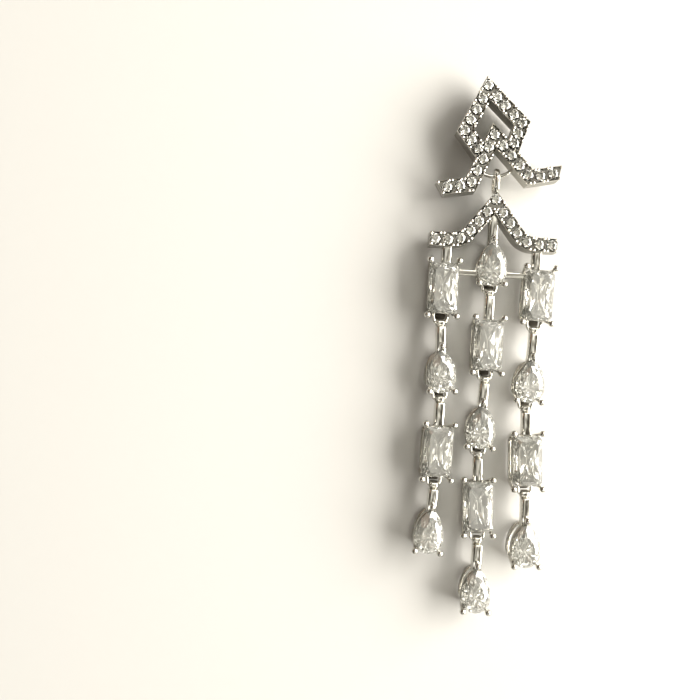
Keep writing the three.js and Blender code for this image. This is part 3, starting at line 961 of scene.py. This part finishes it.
class Shader:
    """Builds one node tree."""

    def __init__(self, tree):
        tree.nodes.clear()
        self.tree = tree

    def add(self, kind, settings=None, inputs=None, output=0):
        """A node of a type with its settings made first, then its sockets fed with values or links.
        A ramp's stops are given as (position, colour) pairs."""
        node = self.tree.nodes.new(kind)
        for key, value in (settings or {}).items():
            if key == "stops":
                ramp = node.color_ramp.elements
                while len(ramp) < len(value):
                    ramp.new(1.0)
                for element, (position, shade) in zip(ramp, value):
                    element.position, element.color = position, (*shade, 1.0)
            else:
                setattr(node, key, value)
        for key, value in (inputs or {}).items():
            if isinstance(value, Number):
                self.tree.links.new(value.socket, node.inputs[key])
            else:
                node.inputs[key].default_value = value
        return Number(self, node.outputs[output]) if node.outputs else None

    def noise(self, scale, detail=2.0, rough=0.5):
        """Noise in Object coordinates."""
        where = self.add("ShaderNodeTexCoord", output="Object")
        return self.add("ShaderNodeTexNoise", {}, {"Vector": where, "Scale": scale, "Detail": detail,
                                                  "Roughness": rough})

    def mix(self, factor, a, b):
        """Two colours mixed by a factor."""
        return self.add("ShaderNodeMix", {"data_type": "RGBA"}, {"Factor": factor, "A": a, "B": b}, "Result")

    def ramp(self, value, low, high):
        """A value spread from nought at low to one at high."""
        return self.add("ShaderNodeMapRange", {"clamp": True}, {0: value, 1: low, 2: high, 3: 0.0, 4: 1.0})


def opaque(shade):
    """A colour with full alpha."""
    return (*shade, 1.0)


def new_material(name):
    """A new material and the builder of its nodes."""
    material = bpy.data.materials.new(name)
    material.use_nodes = True
    return material, Shader(material.node_tree)


def finish_material(shader, inputs):
    """Closes the tree with one Principled shader."""
    surface = shader.add("ShaderNodeBsdfPrincipled", {}, inputs)
    shader.add("ShaderNodeOutputMaterial", {}, {"Surface": surface})


def metal_material():
    """Polished plated metal: bright, with faint rub marks; dull and darkened with painted shade down in the
    seats, and rougher and darkened with painted shade on its matt walls and backs.
    """
    found = bpy.data.materials.get("plated_metal")
    if found:
        return found
    look = bpy.context.scene.earring_finish
    material, shader = new_material("plated_metal")
    recess, satin = (shader.add("ShaderNodeAttribute", {"attribute_name": name}, output="Fac")
                     for name in ("recess", "satin"))
    rub, grain = shader.noise(900.0, 3.0), shader.noise(6000.0)
    # Painted shade: the deeper a point lies in a seat, the more it takes of the dark colour.
    dark = shader.ramp(recess, 0.04, 0.42)
    plate = np.array(look.metal)
    bright = shader.mix(rub, opaque(plate * 0.93), opaque(np.minimum(plate * 1.05, 1)))
    # Painted shade on the matt walls and backs.
    wall = shader.mix(look.wall_shade_mix * satin, bright, opaque(look.wall))
    shade = shader.mix(dark, wall, opaque(look.recess))
    rough = look.polish + look.rubbed * rub ** 2.0 + look.recess_rough * dark + look.satin_rough * satin
    bump = shader.add("ShaderNodeBump", {}, {"Strength": 0.05, "Distance": 0.02 * MM, "Height": grain})
    finish_material(shader, {"Base Color": shade, "Metallic": 1.0, "Roughness": rough, "Normal": bump})
    return material


def zirconia_material(name, bloom):
    """Clear faceted stone with the faintest haze of rub marks. Bloom is the share of the light that
    the dust and rub marks on its facets scatter."""
    found = bpy.data.materials.get(name)
    if found:
        return found
    look = bpy.context.scene.earring_finish
    material, shader = new_material(name)
    haze = shader.noise(2500.0)
    tint = shader.mix(haze, opaque(look.stone), opaque(np.array(look.stone) * 0.985))
    finish_material(shader, {"Base Color": tint, "Roughness": 0.012 * haze, "IOR": look.index,
                             "Transmission Weight": 1.0 - bloom})
    return material


def paper_material():
    """Pale matt paper with a fine tooth."""
    stage = bpy.context.scene.earring_stage
    material, shader = new_material("pale_paper")
    fibre = shader.noise(700.0, 4.0, 0.6)
    tint = shader.mix(fibre, opaque(np.array(stage.paper) * 0.985), opaque(stage.paper))
    bump = shader.add("ShaderNodeBump", {}, {"Strength": 0.25, "Distance": 0.03 * MM, "Height": fibre})
    finish_material(shader, {"Base Color": tint, "Roughness": 0.9, "Normal": bump})
    return material


# ---- Stage ------------------------------------------------


# Colours of the room against the noise that breaks it up, on its dim left side and its lit right.
DIM = ((0.40, (0.012, 0.01, 0.007)), (0.50, (0.06, 0.052, 0.04)), (0.62, (0.50, 0.47, 0.40)))
LIT = ((0.39, (0.11, 0.095, 0.07)), (0.48, (0.52, 0.485, 0.40)), (0.57, (2.3, 2.25, 2.03)))
SIDE_EDGES = (-0.04, 0.14)
# Its glowing patches: direction, size (one less the cosine of the half angle) and colour.
GLOWS = (
    ((-0.55, 0.45, 0.70), 0.04, (0.85, 0.53, 0.34)),
    ((0.25, 0.62, 0.74), 0.014, (8.0, 7.8, 7.3)),
    ((-0.22, -0.50, 0.84), 0.008, (9.0, 8.8, 8.4)),
)


def room(strength):
    """The world: a bright side of the room on the right, a dim warm one on the left and overhead,
    both broken up into patches, two small lamps, and a warm brown surface up on the left."""
    world = bpy.data.worlds.new("room")
    bpy.context.scene.world = world
    world.use_nodes = True
    shader = Shader(world.node_tree)
    where = shader.add("ShaderNodeTexCoord", output="Generated")
    across = shader.add("ShaderNodeSeparateXYZ", {}, {"Vector": where}, "X")
    drawn = shader.add("ShaderNodeVectorMath", {"operation": "MULTIPLY"}, {0: where, 1: (1.0, 0.3, 0.7)})
    patches = shader.add("ShaderNodeTexNoise", {}, {"Vector": drawn, "Scale": 5.0, "Detail": 1.5})
    dim, lit = (shader.add("ShaderNodeValToRGB", {"stops": stops}, {"Fac": patches}) for stops in (DIM, LIT))
    shade = shader.mix(shader.ramp(across, *SIDE_EDGES), dim, lit)
    for way, size, glow in GLOWS:
        way = Vector(way).normalized()
        near = shader.add("ShaderNodeVectorMath", {"operation": "DOT_PRODUCT"}, {0: where, 1: way}, "Value")
        shade = shader.mix(shader.ramp(near, 1 - size, 1 - size / 2), shade, opaque(glow))
    back = shader.add("ShaderNodeBackground", {}, {"Color": shade, "Strength": strength})
    shader.add("ShaderNodeOutputWorld", {}, {"Surface": back})


class EARRING_OT_stage(bpy.types.Operator):
    """Lays the pale surface and sets the soft light, the room and the camera"""

    bl_idname = "earring.stage"
    bl_label = "Surface, light and camera"

    def execute(self, context):
        s, scene = context.scene.earring_stage, context.scene
        mesh = bpy.data.meshes.new("surface")
        corners = [(x * s.surface, y * s.surface, 0) for x, y in ((-1, -1), (1, -1), (1, 1), (-1, 1))]
        mesh.from_pydata(corners, [], [(0, 1, 2, 3)])
        mesh.materials.append(paper_material())
        floor = bpy.data.objects.new("surface", mesh)
        scene.collection.objects.link(floor)
        room(s.room_strength)
        light = bpy.data.lights.new("window", "AREA")
        light.shape, light.size, light.size_y = "RECTANGLE", s.window_width, s.window_tall
        light.energy, light.color = s.window_power, s.window
        lamp = bpy.data.objects.new("window", light)
        level = cos(s.window_height)
        way = Vector((level * cos(s.window_azimuth), level * sin(s.window_azimuth), sin(s.window_height)))
        facing = way.to_track_quat("Z", "Y").to_matrix().to_4x4()
        lamp.matrix_world = Matrix.Translation(way * s.window_distance) @ facing
        scene.collection.objects.link(lamp)
        camera = bpy.data.cameras.new("camera")
        camera.angle, camera.clip_start, camera.clip_end = s.view, 0.001, 10.0
        eye = bpy.data.objects.new("camera", camera)
        eye.location = roof_place(scene.earring_roof) + (*s.eye, s.eye_height)
        eye.rotation_euler = (0, 0, s.roll)
        scene.collection.objects.link(eye)
        scene.camera = eye
        scene.view_settings.view_transform = "Standard"
        return {"FINISHED"}


# ---- Add-on -----------------------------------------------

GROUPS = {
    "earring_stones": EarringStoneSizes,
    "earring_settings": EarringSettingSizes,
    "earring_pave": EarringPaveSizes,
    "earring_top": EarringTopSizes,
    "earring_roof": EarringRoofSizes,
    "earring_finish": EarringFinish,
    "earring_stage": EarringStage,
}
OPERATORS = (
    EARRING_OT_stage, EARRING_OT_top, EARRING_OT_top_fittings, EARRING_OT_roof,
    EARRING_OT_roof_fittings, EARRING_OT_settings, EARRING_OT_gems,
)


class EARRING_PT_build(bpy.types.Panel):
    """Lists the steps that build the earring"""

    bl_idname = "EARRING_PT_build"
    bl_label = "Chandelier Earring"
    bl_space_type = "VIEW_3D"
    bl_region_type = "UI"
    bl_category = "Earring"

    def draw(self, context):
        for operator in OPERATORS:
            self.layout.operator(operator.bl_idname)
        for key, group in GROUPS.items():
            column = self.layout.column(heading=key)
            for field in group.__annotations__:
                column.prop(getattr(context.scene, key), field)


def register():
    """Adds the settings, steps and panel."""
    for cls in (*GROUPS.values(), *OPERATORS, EARRING_PT_build):
        bpy.utils.register_class(cls)
    for key, group in GROUPS.items():
        setattr(bpy.types.Scene, key, PointerProperty(type=group))


def unregister():
    """Takes them away again."""
    for key in GROUPS:
        delattr(bpy.types.Scene, key)
    for cls in (EARRING_PT_build, *reversed(OPERATORS), *reversed(GROUPS.values())):
        bpy.utils.unregister_class(cls)


def main():
    """Builds the earring step by step."""
    register()
    for operator in OPERATORS:
        name = operator.bl_idname.split(".")[1]
        getattr(bpy.ops.earring, name)()


if __name__ == "__main__":
    main()
